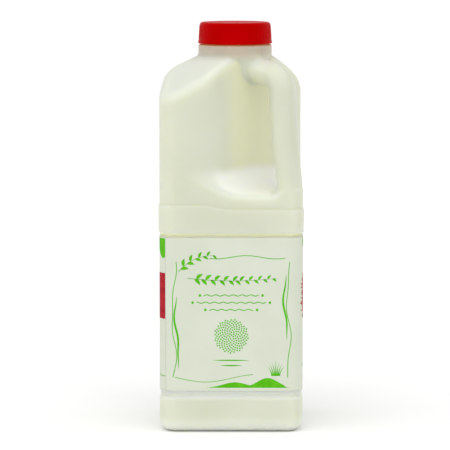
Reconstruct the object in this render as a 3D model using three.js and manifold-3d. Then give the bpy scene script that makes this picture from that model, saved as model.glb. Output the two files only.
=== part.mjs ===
// A one-litre square milk bottle with a handle at one corner, a screw cap and a wrap-around label.
// Millimetres, +Z up, origin on the floor under the middle of the body. The front face looks along -Y,
// and the handle stands at the corner between +X and -Y.
import * as THREE from "three";
import { mergeVertices } from "three/addons/utils/BufferGeometryUtils.js";
import Module from "manifold-3d";

// Walls of the body, from the floor up. A half is the distance from the middle to a flat face.
const body = {
  cornerRadius: 9,
  baseRadius: 7,
  baseHalf: 39.5,
  panelHalf: 39.3,
  bumperHalf: 40,
  upperHalf: 39.5,
  lowGroove: { z: 21.0, depth: 1.4, width: 1.3 },
  highGroove: { z: 109.6, depth: 1.6, width: 1.2 },
  baseTop: 20,
  panelTop: 109.1,
  bumperTop: 126.2,
  bumperDip: 2.3,
  bumperDipRun: 8,
  bandBlend: 1.5,
  creaseBlend: 0.9,
};

// The underside: a shallow round push-up inside a flat standing ring, as radius and height.
const underside = {
  steps: [
    [29, 0],
    [27.5, 0.4],
    [24.5, 1.9],
    [22.5, 2.3],
    [8, 2.6],
    [0, 2.6],
  ],
};

// The shoulder leans in along an arc, and a roof slopes up to the neck, steeper towards the corners.
const shoulder = {
  leanStart: 183,
  leanRadius: 28,
  faceSlope: 0.47,
  cornerSlope: 0.68,
  edgeRadius: 3.5,
};

// The neck stands a little towards the handle. Its finish is the narrower part inside the cap.
const neck = {
  offset: 2.1,
  radius: 20.4,
  base: 206.3,
  top: 212.3,
  finishRadius: 18.4,
  finishTop: 221.4,
  corbelSlope: 0.6,
  blend: 1.2,
};

// The grip recess is a flat wall across the handle's corner, with a wide cove down to a ledge. Its edge
// towards the faces is sharp along the ledge, wide higher up, and sharper again under the shoulder.
const recess = {
  wall: 17.5,
  floorAtFace: 131.4,
  floorRise: 0.12,
  innerRadius: 15,
  ledgeRadius: 3.5,
  outerRadius: 11,
  ledgeLow: 133,
  ledgeHigh: 150,
  shoulderRadius: 4,
  shoulderLow: 178,
  shoulderHigh: 194,
};

// The handle is an oval tube in the mirror plane: out from the neck, round a bend and down the corner.
const handle = {
  halfAcross: 7.9,
  halfDeep: 6.25,
  reach: 40.8,
  bendRadius: 10,
  bendHeight: 187.8,
  rootSlope: 0.15,
  flareTop: 178,
  flareBottom: 118,
  flareReach: 5.6,
  dropEnd: 122,
  innerBulge: 2.6,
  bulgeFade: 20,
  blend: 5,
  crest: 1.6,
  crestFade: 22,
  rootLength: 20,
};

const cap = {
  bottom: 212.9,
  top: 224.7,
  topRadius: 19.7,
  bottomRadius: 20.7,
  wall: 1.3,
  roof: 1.7,
  edgeRadius: 1.6,
  flareHeight: 4,
};

const label = { bottom: 23.4, top: 108.2, gap: 0.22, thickness: 0.25 };

// How finely the surfaces are divided.
const mesh = {
  around: 88,
  cornerPull: 0.5,
  handleAround: 24,
  rootRings: 10,
  bendRings: 7,
  dropRings: 26,
  filletReach: 1.8,
  capAround: 60,
};
const march = { step: 0.4, halvings: 14, reach: 60 };

// The handle's lowest rings lean with the recess floor, between these heights. Its tube dips a little
// under the body's skin where its fillets fade, at these parts of their size, and below the foot's end.
const seam = { leanTop: 168, leanBottom: 150, fadeStart: 0.5, fadeEnd: 0.95, footEnd: 130, ramp: 3, sunk: 0.4 };

const diagonal = Math.SQRT1_2;
const levelStep = 0.02;
const wasm = await Module();
wasm.setup();

// The corner where two distances meet, rounded by a radius: both are negative inside.
function roundIntersection(a, b, radius) {
  const p = Math.max(a + radius, 0);
  const q = Math.max(b + radius, 0);
  return Math.hypot(p, q) + Math.min(Math.max(a, b) + radius, 0) - radius;
}

// Two solids joined with a fillet of about this size.
function filletUnion(a, b, size) {
  const h = Math.max(size - Math.abs(a - b), 0) / size;
  return Math.min(a, b) - (h * h * size) / 4;
}

function smoothStep(low, high, value) {
  const t = THREE.MathUtils.clamp((value - low) / (high - low), 0, 1);
  return t * t * (3 - 2 * t);
}

// Half the width of the body between opposite faces at a height, where the bumper band ends at its top.
function halfWidth(z, bumperTop) {
  const steps = [
    [body.baseTop, body.baseHalf, body.panelHalf, body.bandBlend],
    [body.panelTop, body.panelHalf, body.bumperHalf, body.bandBlend],
    [bumperTop, body.bumperHalf, body.upperHalf, body.creaseBlend],
  ];
  let half = body.baseHalf;
  for (const [at, below, above, blend] of steps) {
    half += (above - below) * smoothStep(at - blend, at + blend, z);
  }
  for (const groove of [body.lowGroove, body.highGroove]) {
    half -= groove.depth * Math.exp(-(((z - groove.z) / groove.width) ** 2));
  }
  const lean = Math.min(Math.max(z - shoulder.leanStart, 0), shoulder.leanRadius * 0.95);
  return half - shoulder.leanRadius + Math.sqrt(shoulder.leanRadius ** 2 - lean ** 2);
}

function roundedSquare(x, y, half, radius) {
  const p = Math.abs(x) - half + radius;
  const q = Math.abs(y) - half + radius;
  return Math.hypot(Math.max(p, 0), Math.max(q, 0)) + Math.min(Math.max(p, q), 0) - radius;
}

// The roof between the neck and the faces.
function roofDistance(x, y, z) {
  const dx = x - neck.offset;
  const dy = y + neck.offset;
  const r = Math.max(Math.hypot(dx, dy), 1e-6);
  const towardsCorner = 4 * ((dx * dy) / (r * r)) ** 2;
  const slope = shoulder.faceSlope + (shoulder.cornerSlope - shoulder.faceSlope) * towardsCorner;
  return (z - neck.base + slope * (r - neck.radius)) / Math.hypot(1, slope);
}

// The space of the grip recess: past the wall, and above the floor.
function recessDistance(x, y, z) {
  const v = (x - y) * diagonal;
  const outermost = Math.max(x, -y);
  const floor = recess.floorAtFace + recess.floorRise * (body.upperHalf - outermost);
  return roundIntersection(
    recess.wall - v,
    (floor - z) / Math.hypot(1, recess.floorRise),
    recess.innerRadius,
  );
}

// The neck below the cap, with the cone that carries it over the recess.
function neckDistance(x, y, z) {
  const r = Math.hypot(x - neck.offset, y + neck.offset);
  const cone = r - neck.radius + Math.max(neck.base - z, 0) * neck.corbelSlope;
  return Math.max(cone / Math.hypot(1, neck.corbelSlope), z - neck.top, neck.base - 14 - z);
}

// The square body up to its full height, without shoulder, recess or handle. Below the recess the bumper
// band's top dips.
function wallDistance(x, y, z) {
  const v = (x - y) * diagonal;
  const dipEnd = recess.wall + body.bumperDipRun;
  const bumperTop = body.bumperTop - body.bumperDip * smoothStep(recess.wall, dipEnd, v);
  const walls = roundedSquare(x, y, halfWidth(z, bumperTop), body.cornerRadius);
  return roundIntersection(walls, -z, body.baseRadius);
}

// The body without its handle.
function coreDistance(x, y, z) {
  const lower = smoothStep(recess.ledgeLow, recess.ledgeHigh, z);
  const upper = smoothStep(recess.shoulderLow, recess.shoulderHigh, z);
  const edgeRadius = recess.ledgeRadius + (recess.outerRadius - recess.ledgeRadius) * lower
    + (recess.shoulderRadius - recess.outerRadius) * upper;
  const gripped = roundIntersection(wallDistance(x, y, z), -recessDistance(x, y, z), edgeRadius);
  const roofed = roundIntersection(gripped, roofDistance(x, y, z), shoulder.edgeRadius);
  return filletUnion(roofed, neckDistance(x, y, z), neck.blend);
}

// The handle's middle line runs in the mirror plane (v outwards, z up): a root that slopes down from the
// neck, a bend, and a drop that swings outwards to the corner below. It is thicker inside the bend.
const rootAngle = Math.atan(handle.rootSlope);
const bendCentre = handle.reach - handle.bendRadius;
const bendStart = {
  v: bendCentre + handle.bendRadius * Math.sin(rootAngle),
  z: handle.bendHeight + handle.bendRadius * Math.cos(rootAngle),
};

function rootSpot(back) {
  return {
    v: bendStart.v - back * Math.cos(rootAngle),
    z: bendStart.z + back * Math.sin(rootAngle),
    nv: Math.sin(rootAngle),
    nz: Math.cos(rootAngle),
    crest: 1,
    bulge: 1 - smoothStep(0, handle.bulgeFade, back),
  };
}

function bendSpot(turn) {
  return {
    v: bendCentre + handle.bendRadius * Math.sin(turn),
    z: handle.bendHeight + handle.bendRadius * Math.cos(turn),
    nv: Math.sin(turn),
    nz: Math.cos(turn),
    crest: 1,
    bulge: 1,
  };
}

function dropSpot(z) {
  const flare = 1 - smoothStep(handle.flareBottom, handle.flareTop, z);
  return {
    v: handle.reach + handle.flareReach * flare,
    z,
    nv: 1,
    nz: 0,
    crest: smoothStep(handle.bendHeight - handle.crestFade, handle.bendHeight, z),
    bulge: smoothStep(handle.bendHeight - handle.bulgeFade, handle.bendHeight, z),
  };
}

// Radius of the handle's oval at a place in its section: across the mirror plane, and outwards.
function ovalRadius(across, out, at) {
  const r = Math.max(Math.hypot(across, out), 1e-6);
  const power = out > 0 ? 2 - (2 - handle.crest) * at.crest : 2;
  const deep = out > 0 ? handle.halfDeep : handle.halfDeep + handle.innerBulge * at.bulge;
  const p = Math.abs(across / r) / handle.halfAcross;
  const q = Math.abs(out / r) / deep;
  return 1 / (p ** power + q ** power) ** (1 / power);
}

function handleDistance(x, y, z) {
  const u = (x + y) * diagonal;
  const v = (x - y) * diagonal;
  const back = (bendStart.v - v) * Math.cos(rootAngle) + (z - bendStart.z) * Math.sin(rootAngle);
  const turn = Math.atan2(v - bendCentre, z - handle.bendHeight);
  const spots = [
    rootSpot(THREE.MathUtils.clamp(back, 0, handle.rootLength)),
    dropSpot(THREE.MathUtils.clamp(z, handle.dropEnd, handle.bendHeight)),
  ];
  if (turn > rootAngle && turn < Math.PI / 2) {
    spots.push(bendSpot(turn));
  }
  let nearest = Infinity;
  for (const at of spots) {
    const out = (v - at.v) * at.nv + (z - at.z) * at.nz;
    const along = (v - at.v) * at.nz - (z - at.z) * at.nv;
    const level = Math.hypot(u, out) - ovalRadius(u, out, at);
    nearest = Math.min(nearest, Math.hypot(Math.max(level, 0), along) + Math.min(level, 0));
  }
  return nearest;
}

// The whole bottle, with fillets where the handle leaves the body, and nothing proud of its walls.
function bottleDistance(x, y, z) {
  const joined = filletUnion(coreDistance(x, y, z), handleDistance(x, y, z), handle.blend);
  return z < handle.bendHeight ? Math.max(joined, wallDistance(x, y, z)) : joined;
}

// A manifold solid from a closed three.js geometry, and back.
function toSolid(geometry) {
  const bare = geometry.clone();
  bare.deleteAttribute("normal");
  bare.deleteAttribute("uv");
  const merged = mergeVertices(bare, 1e-4);
  return new wasm.Manifold(
    new wasm.Mesh({
      numProp: 3,
      vertProperties: new Float32Array(merged.attributes.position.array),
      triVerts: new Uint32Array(merged.index.array),
    }),
  );
}

function toGeometry(solid) {
  const { vertProperties, triVerts, numProp, numVert } = solid.getMesh();
  const positions = new Float32Array(numVert * 3);
  for (let i = 0; i < numVert; i += 1) {
    positions.set(vertProperties.subarray(i * numProp, i * numProp + 3), i * 3);
  }
  const geometry = new THREE.BufferGeometry();
  geometry.setAttribute("position", new THREE.BufferAttribute(positions, 3));
  geometry.setIndex(new THREE.BufferAttribute(new Uint32Array(triVerts), 1));
  geometry.computeVertexNormals();
  return geometry;
}

// A ball-shaped grid of rings and columns whose every vertex is placed by a function: the first and
// last rings close to a point.
function placedRings(rings, columns, place) {
  const geometry = new THREE.SphereGeometry(1, columns, rings - 1);
  const position = geometry.attributes.position;
  const spot = new THREE.Vector3();
  for (let ring = 0; ring < rings; ring += 1) {
    for (let column = 0; column <= columns; column += 1) {
      place(ring, column % columns, spot);
      position.setXYZ(ring * (columns + 1) + column, spot.x, spot.y, spot.z);
    }
  }
  return geometry;
}

// Where a ray first leaves a solid: steps outwards, then halves the last step.
function firstExit(distanceAt, limit) {
  let inside = 0;
  while (inside < limit && distanceAt(inside + march.step) < 0) {
    inside += march.step;
  }
  if (inside >= limit) {
    return limit;
  }
  let outside = inside + march.step;
  for (let halving = 0; halving < march.halvings; halving += 1) {
    const middle = (inside + outside) / 2;
    if (distanceAt(middle) < 0) {
      inside = middle;
    } else {
      outside = middle;
    }
  }
  return inside;
}

// Heights of the body's rings: close together where the wall turns.
function bodyHeights() {
  const spans = [
    [0, 7, 6],
    [7, 18, 2],
    [18, 24, 7],
    [24, 106, 5],
    [106, 114, 9],
    [114, 123, 2],
    [123, 128, 3],
    [128, 136, 7],
    [136, 154, 6],
    [154, 182, 5],
    [182, 207.3, 15],
    [207.3, neck.top, 2],
  ];
  const heights = [];
  for (const [low, high, count] of spans) {
    for (let i = 0; i < count; i += 1) {
      heights.push(low + ((high - low) * i) / count);
    }
  }
  heights.push(neck.top);
  return heights;
}

// Column angles, drawn together at the four corners.
function columnAngle(column) {
  const even = (column / mesh.around) * 2 * Math.PI;
  return even + (mesh.cornerPull / 4) * Math.sin(4 * even);
}

// The wall of the body or neck in one direction from the middle, at a height.
function wallReach(angle, z) {
  const level = THREE.MathUtils.clamp(z, levelStep, neck.top - levelStep);
  const cx = Math.cos(angle);
  const cy = Math.sin(angle);
  return firstExit((r) => coreDistance(r * cx, r * cy, level), march.reach);
}

// The same for a circle round the neck's own middle.
function circleReach(angle, radius, offset) {
  const cx = Math.cos(angle);
  const cy = Math.sin(angle);
  return firstExit((r) => Math.hypot(r * cx - offset, r * cy + offset) - radius, march.reach);
}

// The body and neck as one closed skin of rings, from the top of the neck down to the underside.
function makeCore() {
  const rings = [
    { z: neck.finishTop, radius: 0, offset: 0 },
    { z: neck.finishTop, radius: neck.finishRadius, offset: neck.offset },
    { z: neck.top, radius: neck.finishRadius, offset: neck.offset },
  ];
  for (const z of bodyHeights().reverse()) {
    rings.push({ z });
  }
  for (const [radius, height] of underside.steps) {
    rings.push({ z: height, radius, offset: 0 });
  }
  return placedRings(rings.length, mesh.around, (ring, column, spot) => {
    const { z, radius, offset } = rings[ring];
    const angle = columnAngle(column);
    const r = radius === undefined ? wallReach(angle, z) : radius && circleReach(angle, radius, offset);
    spot.set(r * Math.cos(angle), r * Math.sin(angle), z);
  });
}

// The handle as one closed tube of oval rings, which widen into the fillets at both of its ends.
function makeHandle() {
  const spots = [];
  for (let i = 0; i < mesh.rootRings; i += 1) {
    spots.push(rootSpot(handle.rootLength * (1 - i / mesh.rootRings)));
  }
  for (let i = 0; i < mesh.bendRings; i += 1) {
    spots.push(bendSpot(rootAngle + ((Math.PI / 2 - rootAngle) * i) / mesh.bendRings));
  }
  for (let i = 0; i <= mesh.dropRings; i += 1) {
    spots.push(dropSpot(handle.bendHeight - ((handle.bendHeight - handle.dropEnd) * i) / mesh.dropRings));
  }
  const rings = spots.length + 2;
  const floorLean = Math.atan(recess.floorRise * diagonal);
  return placedRings(rings, mesh.handleAround, (ring, column, spot) => {
    const at = spots[THREE.MathUtils.clamp(ring - 1, 0, spots.length - 1)];
    const lean = at.nv < 1 ? 0 : floorLean * (1 - smoothStep(seam.leanBottom, seam.leanTop, at.z));
    const nv = at.nv * Math.cos(lean);
    const nz = at.nz - Math.sin(lean);
    const ended = 1 - smoothStep(seam.footEnd - seam.ramp, seam.footEnd, at.z);
    const angle = -(column / mesh.handleAround) * 2 * Math.PI;
    const across = Math.cos(angle);
    const out = Math.sin(angle);
    const widest = ovalRadius(across, out, at) * mesh.filletReach;
    const spotAt = (r) => {
      const u = r * across;
      const v = at.v + r * out * nv;
      return [(u + v) * diagonal, (u - v) * diagonal, at.z + r * out * nz];
    };
    const dippedDistance = (reach) => {
      const away = handleDistance(...spotAt(reach)) / handle.blend;
      const faded = smoothStep(seam.fadeStart, seam.fadeEnd, away);
      return bottleDistance(...spotAt(reach)) + seam.sunk * Math.max(ended, faded);
    };
    const closed = ring === 0 || ring === rings - 1;
    const r = closed ? 0 : firstExit(dippedDistance, widest);
    spot.set(...spotAt(r));
  });
}

// The cap: a domed-edge skirt that widens at its foot, hollow below.
function makeCap() {
  const outline = new THREE.Path();
  outline.moveTo(0, cap.top);
  outline.lineTo(cap.topRadius - cap.edgeRadius, cap.top);
  outline.quadraticCurveTo(cap.topRadius, cap.top, cap.topRadius, cap.top - cap.edgeRadius);
  outline.lineTo(cap.topRadius + 0.4, cap.bottom + cap.flareHeight);
  outline.quadraticCurveTo(cap.bottomRadius, cap.bottom + cap.flareHeight * 0.6, cap.bottomRadius, cap.bottom);
  outline.lineTo(cap.bottomRadius - cap.wall, cap.bottom);
  outline.lineTo(cap.topRadius - cap.wall * 0.6, cap.top - cap.roof);
  outline.lineTo(0, cap.top - cap.roof);
  const points = outline.getPoints(5).reverse();
  return new THREE.LatheGeometry(points, mesh.capAround).rotateX(Math.PI / 2);
}

function roundedSquarePath(path, half, radius) {
  const inner = half - radius;
  path.absarc(inner, inner, radius, 0, Math.PI / 2);
  path.absarc(-inner, inner, radius, Math.PI / 2, Math.PI);
  path.absarc(-inner, -inner, radius, Math.PI, 1.5 * Math.PI);
  path.absarc(inner, -inner, radius, 1.5 * Math.PI, 2 * Math.PI);
  path.closePath();
  return path;
}

// The label: a thin sleeve round the panel between the two grooves.
function makeLabel() {
  const insideHalf = body.panelHalf + label.gap;
  const outsideHalf = insideHalf + label.thickness;
  const radius = body.cornerRadius + label.gap;
  const outline = roundedSquarePath(new THREE.Shape(), outsideHalf, radius + label.thickness);
  outline.holes.push(roundedSquarePath(new THREE.Path(), insideHalf, radius));
  const height = label.top - label.bottom;
  return new THREE.ExtrudeGeometry(outline, { depth: height, bevelEnabled: false, curveSegments: 10 });
}

function addMesh(group, name, geometry, looks) {
  const solid = new THREE.Mesh(geometry, new THREE.MeshStandardMaterial(looks));
  solid.name = name;
  group.add(solid);
  return solid;
}

const milkBottle = new THREE.Group();

const bottleSolid = toSolid(makeCore()).add(toSolid(makeHandle())).simplify(0.02);
addMesh(milkBottle, "bottle", toGeometry(bottleSolid), { color: 0xdadec6, roughness: 0.42, metalness: 0 });

const capMesh = addMesh(milkBottle, "cap", makeCap(), { color: 0xbd0606, roughness: 0.35, metalness: 0 });
capMesh.position.set(neck.offset, -neck.offset, 0);

const labelMesh = addMesh(milkBottle, "label", makeLabel(), { color: 0xd8dccf, roughness: 0.5, metalness: 0 });
labelMesh.position.set(0, 0, label.bottom);

export default milkBottle;
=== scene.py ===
import bmesh
import bpy
import math
import numpy as np
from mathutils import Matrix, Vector


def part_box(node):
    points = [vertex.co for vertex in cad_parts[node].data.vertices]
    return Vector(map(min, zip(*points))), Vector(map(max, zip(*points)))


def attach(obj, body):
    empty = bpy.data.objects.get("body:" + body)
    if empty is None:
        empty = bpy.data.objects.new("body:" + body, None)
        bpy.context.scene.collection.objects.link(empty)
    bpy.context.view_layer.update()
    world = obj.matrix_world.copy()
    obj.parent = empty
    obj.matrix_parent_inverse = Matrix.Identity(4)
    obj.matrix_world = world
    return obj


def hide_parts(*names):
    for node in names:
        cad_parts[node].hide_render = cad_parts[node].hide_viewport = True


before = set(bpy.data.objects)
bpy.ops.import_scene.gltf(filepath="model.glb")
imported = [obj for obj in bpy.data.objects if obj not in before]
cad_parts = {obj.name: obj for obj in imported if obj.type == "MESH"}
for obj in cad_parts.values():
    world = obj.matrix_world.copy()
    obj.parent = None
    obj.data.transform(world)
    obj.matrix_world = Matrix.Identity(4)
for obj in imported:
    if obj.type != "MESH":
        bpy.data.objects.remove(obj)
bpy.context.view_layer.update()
mm = 0.001
diagonal = math.sqrt(0.5)

# places taken from the frame, in millimetres
bottleLow, bottleHigh = [[c / mm for c in corner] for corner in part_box("bottle")]
capLow, capHigh = [[c / mm for c in corner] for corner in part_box("cap")]
labelLow, labelHigh = [[c / mm for c in corner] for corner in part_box("label")]
neckX = (capLow[0] + capHigh[0]) / 2
print("frame read: bottle", [round(h - l, 1) for l, h in zip(bottleLow, bottleHigh)])

# the bottle's walls; a half is the distance from the middle to a flat face
bodyShape = {
    "bumperHalf": (bottleHigh[0] - bottleLow[0]) / 2,
    "baseHalf": 39.5,
    "panelHalf": 39.3,
    "upperHalf": 39.5,
    "cornerRadius": 9.0,
    "baseRadius": 7.0,
    "baseTop": 20.0,
    "panelTop": 109.1,
    "bumperTop": 126.2,
    "bumperDip": 2.3,
    "bumperDipRun": 11.0,
    "bandBlend": 1.5,
    "creaseBlend": 0.9,
    "creaseDepth": 0.3,
    "creaseWidth": 0.8,
    "grooves": [(21.0, 0.9, 1.3), (109.6, 1.0, 1.0)],  # height, depth, width
    "pushUp": 2.4,
    "pushUpFrom": 23.0,
    "pushUpTo": 29.0,
}

# the walls lean in under the roof, and the roof falls away from the neck, more so towards the corners
shoulderShape = {
    "leanStart": 183.0,
    "leanRadius": 28.0,
    "leanMost": 0.95,  # how far into its radius the lean may go
    "faceSlope": 0.47,
    "cornerSlope": 0.68,
    "edgeRadius": 3.5,
}

# the neck stands a little towards the handle, on a cone that widens upwards
neckShape = {
    "offset": neckX,
    "radius": 20.4,
    "base": 206.3,
    "top": 212.3,
    "finishRadius": 18.4,
    "finishTop": bottleHigh[2],
    "coneDepth": 14.0,
    "coneSlope": 0.6,
    "blend": 1.2,
}

# the grip's recess: a wall across the handle's corner, a floor that falls outwards, and the radius of its
# outer edge, which grows above the ledge and shrinks again at the shoulder
recessShape = {
    "wall": 17.5,
    "floorAtFace": 131.4,
    "floorRise": 0.12,
    "innerRadius": 15.0,
    "ledgeRadius": 3.5,
    "outerRadius": 11.0,
    "ledgeLow": 133.0,
    "ledgeHigh": 150.0,
    "shoulderRadius": 4.0,
    "shoulderLow": 178.0,
    "shoulderHigh": 194.0,
}

# the handle: a root that slopes down from the neck, a bend, and a drop that swings out to the corner below
handleShape = {
    "halfAcross": 7.9,
    "halfDeep": 6.25,
    "reach": 40.8,
    "bendRadius": 10.0,
    "bendHeight": 187.8,
    "rootSlope": 0.15,
    "rootLength": 20.0,
    "flareTop": 178.0,
    "flareBottom": 118.0,
    "flareReach": 5.6,
    "dropEnd": 122.0,
    "innerBulge": 2.6,
    "bulgeFade": 20.0,
    "blend": 5.0,
    "crest": 1.6,
    "crestFade": 22.0,
}


def smoothStep(low, high, value):
    t = np.clip((value - low) / (high - low), 0.0, 1.0)
    return t * t * (3 - 2 * t)


def roundIntersection(a, b, radius):
    p = np.maximum(a + radius, 0)
    q = np.maximum(b + radius, 0)
    return np.hypot(p, q) + np.minimum(np.maximum(a, b) + radius, 0) - radius


def filletUnion(a, b, size):
    h = np.maximum(size - np.abs(a - b), 0) / size
    return np.minimum(a, b) - h * h * size / 4


def halfWidth(z, bumperTop):
    s = bodyShape
    steps = [
        (s["baseTop"], s["baseHalf"], s["panelHalf"], s["bandBlend"]),
        (s["panelTop"], s["panelHalf"], s["bumperHalf"], s["bandBlend"]),
        (bumperTop, s["bumperHalf"], s["upperHalf"], s["creaseBlend"]),
    ]
    half = s["baseHalf"] + 0 * z
    for at, below, above, blend in steps:
        half = half + (above - below) * smoothStep(at - blend, at + blend, z)
    for height, depth, width in s["grooves"] + [(bumperTop, s["creaseDepth"], s["creaseWidth"])]:
        half = half - depth * np.exp(-((z - height) / width) ** 2)
    leanRadius = shoulderShape["leanRadius"]
    lean = np.clip(z - shoulderShape["leanStart"], 0, leanRadius * shoulderShape["leanMost"])
    return half - leanRadius + np.sqrt(leanRadius ** 2 - lean ** 2)


def wallDistance(x, y, z):
    s = bodyShape
    wall = recessShape["wall"]
    dipped = smoothStep(wall, wall + s["bumperDipRun"], (x - y) * diagonal)
    half = halfWidth(z, s["bumperTop"] - s["bumperDip"] * dipped)
    p = np.abs(x) - half + s["cornerRadius"]
    q = np.abs(y) - half + s["cornerRadius"]
    walls = np.hypot(np.maximum(p, 0), np.maximum(q, 0)) + np.minimum(np.maximum(p, q), 0)
    walls = walls - s["cornerRadius"]
    lift = s["pushUp"] * (1 - smoothStep(s["pushUpFrom"], s["pushUpTo"], np.hypot(x, y)))
    return roundIntersection(walls, lift - z, s["baseRadius"])


def roofDistance(x, y, z):
    dx = x - neckShape["offset"]
    dy = y + neckShape["offset"]
    r = np.maximum(np.hypot(dx, dy), 1e-6)
    towardsCorner = 4 * (dx * dy / (r * r)) ** 2
    s = shoulderShape
    slope = s["faceSlope"] + (s["cornerSlope"] - s["faceSlope"]) * towardsCorner
    return (z - neckShape["base"] + slope * (r - neckShape["radius"])) / np.hypot(1, slope)


def recessDistance(x, y, z):
    s = recessShape
    v = (x - y) * diagonal
    floor = s["floorAtFace"] + s["floorRise"] * (bodyShape["upperHalf"] - np.maximum(x, -y))
    return roundIntersection(s["wall"] - v, (floor - z) / math.hypot(1, s["floorRise"]), s["innerRadius"])


def neckDistance(x, y, z):
    s = neckShape
    r = np.hypot(x - s["offset"], y + s["offset"])
    narrowing = np.maximum(s["base"] - z, 0) * s["coneSlope"]
    cone = (r - s["radius"] + narrowing) / math.hypot(1, s["coneSlope"])
    ring = np.maximum(np.maximum(cone, z - s["top"]), s["base"] - s["coneDepth"] - z)
    finish = np.maximum(np.maximum(r - s["finishRadius"], z - s["finishTop"]), s["base"] - z)
    return np.minimum(ring, finish)


def ovalRadius(across, out, crest, bulge):
    s = handleShape
    r = np.maximum(np.hypot(across, out), 1e-6)
    power = np.where(out > 0, 2 - (2 - s["crest"]) * crest, 2.0)
    deep = np.where(out > 0, s["halfDeep"], s["halfDeep"] + s["innerBulge"] * bulge)
    p = np.abs(across / r) / s["halfAcross"]
    q = np.abs(out / r) / deep
    return 1 / (p ** power + q ** power) ** (1 / power)


def handleDistance(x, y, z):
    s = handleShape
    rootAngle = math.atan(s["rootSlope"])
    sine, cosine = math.sin(rootAngle), math.cos(rootAngle)
    centre = s["reach"] - s["bendRadius"]
    startV = centre + s["bendRadius"] * sine
    startZ = s["bendHeight"] + s["bendRadius"] * cosine
    u = (x + y) * diagonal
    v = (x - y) * diagonal

    def tube(atV, atZ, normalV, normalZ, crest, bulge):
        out = (v - atV) * normalV + (z - atZ) * normalZ
        along = (v - atV) * normalZ - (z - atZ) * normalV
        level = np.hypot(u, out) - ovalRadius(u, out, crest, bulge)
        return np.hypot(np.maximum(level, 0), along) + np.minimum(level, 0)

    back = np.clip((startV - v) * cosine + (z - startZ) * sine, 0, s["rootLength"])
    root = tube(startV - back * cosine, startZ + back * sine, sine, cosine,
                1.0, 1 - smoothStep(0, s["bulgeFade"], back))
    height = np.clip(z, s["dropEnd"], s["bendHeight"])
    flare = 1 - smoothStep(s["flareBottom"], s["flareTop"], height)
    drop = tube(s["reach"] + s["flareReach"] * flare, height, 1.0, 0.0,
                smoothStep(s["bendHeight"] - s["crestFade"], s["bendHeight"], height),
                smoothStep(s["bendHeight"] - s["bulgeFade"], s["bendHeight"], height))
    turn = np.arctan2(v - centre, z - s["bendHeight"])
    bend = tube(centre + s["bendRadius"] * np.sin(turn), s["bendHeight"] + s["bendRadius"] * np.cos(turn),
                np.sin(turn), np.cos(turn), 1.0, 1.0)
    bend = np.where((turn > rootAngle) & (turn < math.pi / 2), bend, np.inf)
    return np.minimum(np.minimum(root, drop), bend)


def bottleDistance(x, y, z):
    wall = wallDistance(x, y, z)
    r = recessShape
    lower = smoothStep(r["ledgeLow"], r["ledgeHigh"], z)
    upper = smoothStep(r["shoulderLow"], r["shoulderHigh"], z)
    edge = r["ledgeRadius"] + (r["outerRadius"] - r["ledgeRadius"]) * lower
    edge = edge + (r["shoulderRadius"] - r["outerRadius"]) * upper
    gripped = roundIntersection(wall, -recessDistance(x, y, z), edge)
    roofed = roundIntersection(gripped, roofDistance(x, y, z), shoulderShape["edgeRadius"])
    core = filletUnion(roofed, neckDistance(x, y, z), neckShape["blend"])
    joined = filletUnion(core, handleDistance(x, y, z), handleShape["blend"])
    return np.where(z < handleShape["bendHeight"], np.maximum(joined, wall), joined)


# the skin's grid, and how it is evened out and drawn onto the solid
skinning = {
    "low": (-42.0, -42.0, -2.0),
    "high": (42.0, 42.0, bottleHigh[2] + 2),
    "cell": 1.05,
    "quickCell": 1.6,
    "rounds": 4,
    "evening": 0.5,
    "pulls": 3,
    "mostMove": 0.6,
    "flattest": 0.25,  # least squared slope that a pull divides by
}


# a skin of quads round a solid that is given as a distance
def skinOf(distance, low, high, cell):
    counts = [int(math.ceil((h - l) / cell)) + 1 for l, h in zip(low, high)]
    axes = [l + cell * np.arange(n) for l, n in zip(low, counts)]
    grid = np.stack(np.meshgrid(*axes, indexing="ij"), axis=-1)
    value = distance(grid[..., 0], grid[..., 1], grid[..., 2])
    inside = value < 0
    cells = tuple(n - 1 for n in counts)
    total = np.zeros(cells + (3,))
    hits = np.zeros(cells)
    quads = []
    for axis in range(3):
        first = [slice(None)] * 3
        second = [slice(None)] * 3
        first[axis], second[axis] = slice(0, -1), slice(1, None)
        a, b = value[tuple(first)], value[tuple(second)]
        crossed = inside[tuple(first)] != inside[tuple(second)]
        t = np.where(crossed, a / np.where(crossed, a - b, 1), 0)
        spot = grid[tuple(first)] + 0.0
        spot[..., axis] += t * cell
        spot *= crossed[..., None]
        others = [k for k in range(3) if k != axis]
        for i in (0, 1):
            for j in (0, 1):
                part = [slice(None)] * 3
                part[others[0]] = slice(i, counts[others[0]] - 1 + i)
                part[others[1]] = slice(j, counts[others[1]] - 1 + j)
                total += spot[tuple(part)]
                hits += crossed[tuple(part)]
        where = np.argwhere(crossed)
        leaving = inside[tuple(first)][crossed]
        p, q = (axis + 1) % 3, (axis + 2) % 3
        corners = []
        for dp, dq in ((1, 1), (0, 1), (0, 0), (1, 0)):
            c = where.copy()
            c[:, p] -= dp
            c[:, q] -= dq
            corners.append(c)
        ids = np.stack([np.ravel_multi_index(c.T, cells, mode="clip") for c in corners], axis=1)
        ids[~leaving] = ids[~leaving][:, ::-1]
        quads.append(ids)
    used = np.flatnonzero(hits.ravel())
    remap = np.full(hits.size, -1)
    remap[used] = np.arange(len(used))
    points = total.reshape(-1, 3)[used] / hits.ravel()[used][:, None]
    return points, remap[np.concatenate(quads)]


def slopeOf(distance, p, step=0.03):
    g = np.empty_like(p)
    for axis in range(3):
        d = np.zeros(3)
        d[axis] = step
        g[:, axis] = (distance(*(p + d).T) - distance(*(p - d).T)) / (2 * step)
    return g


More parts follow.
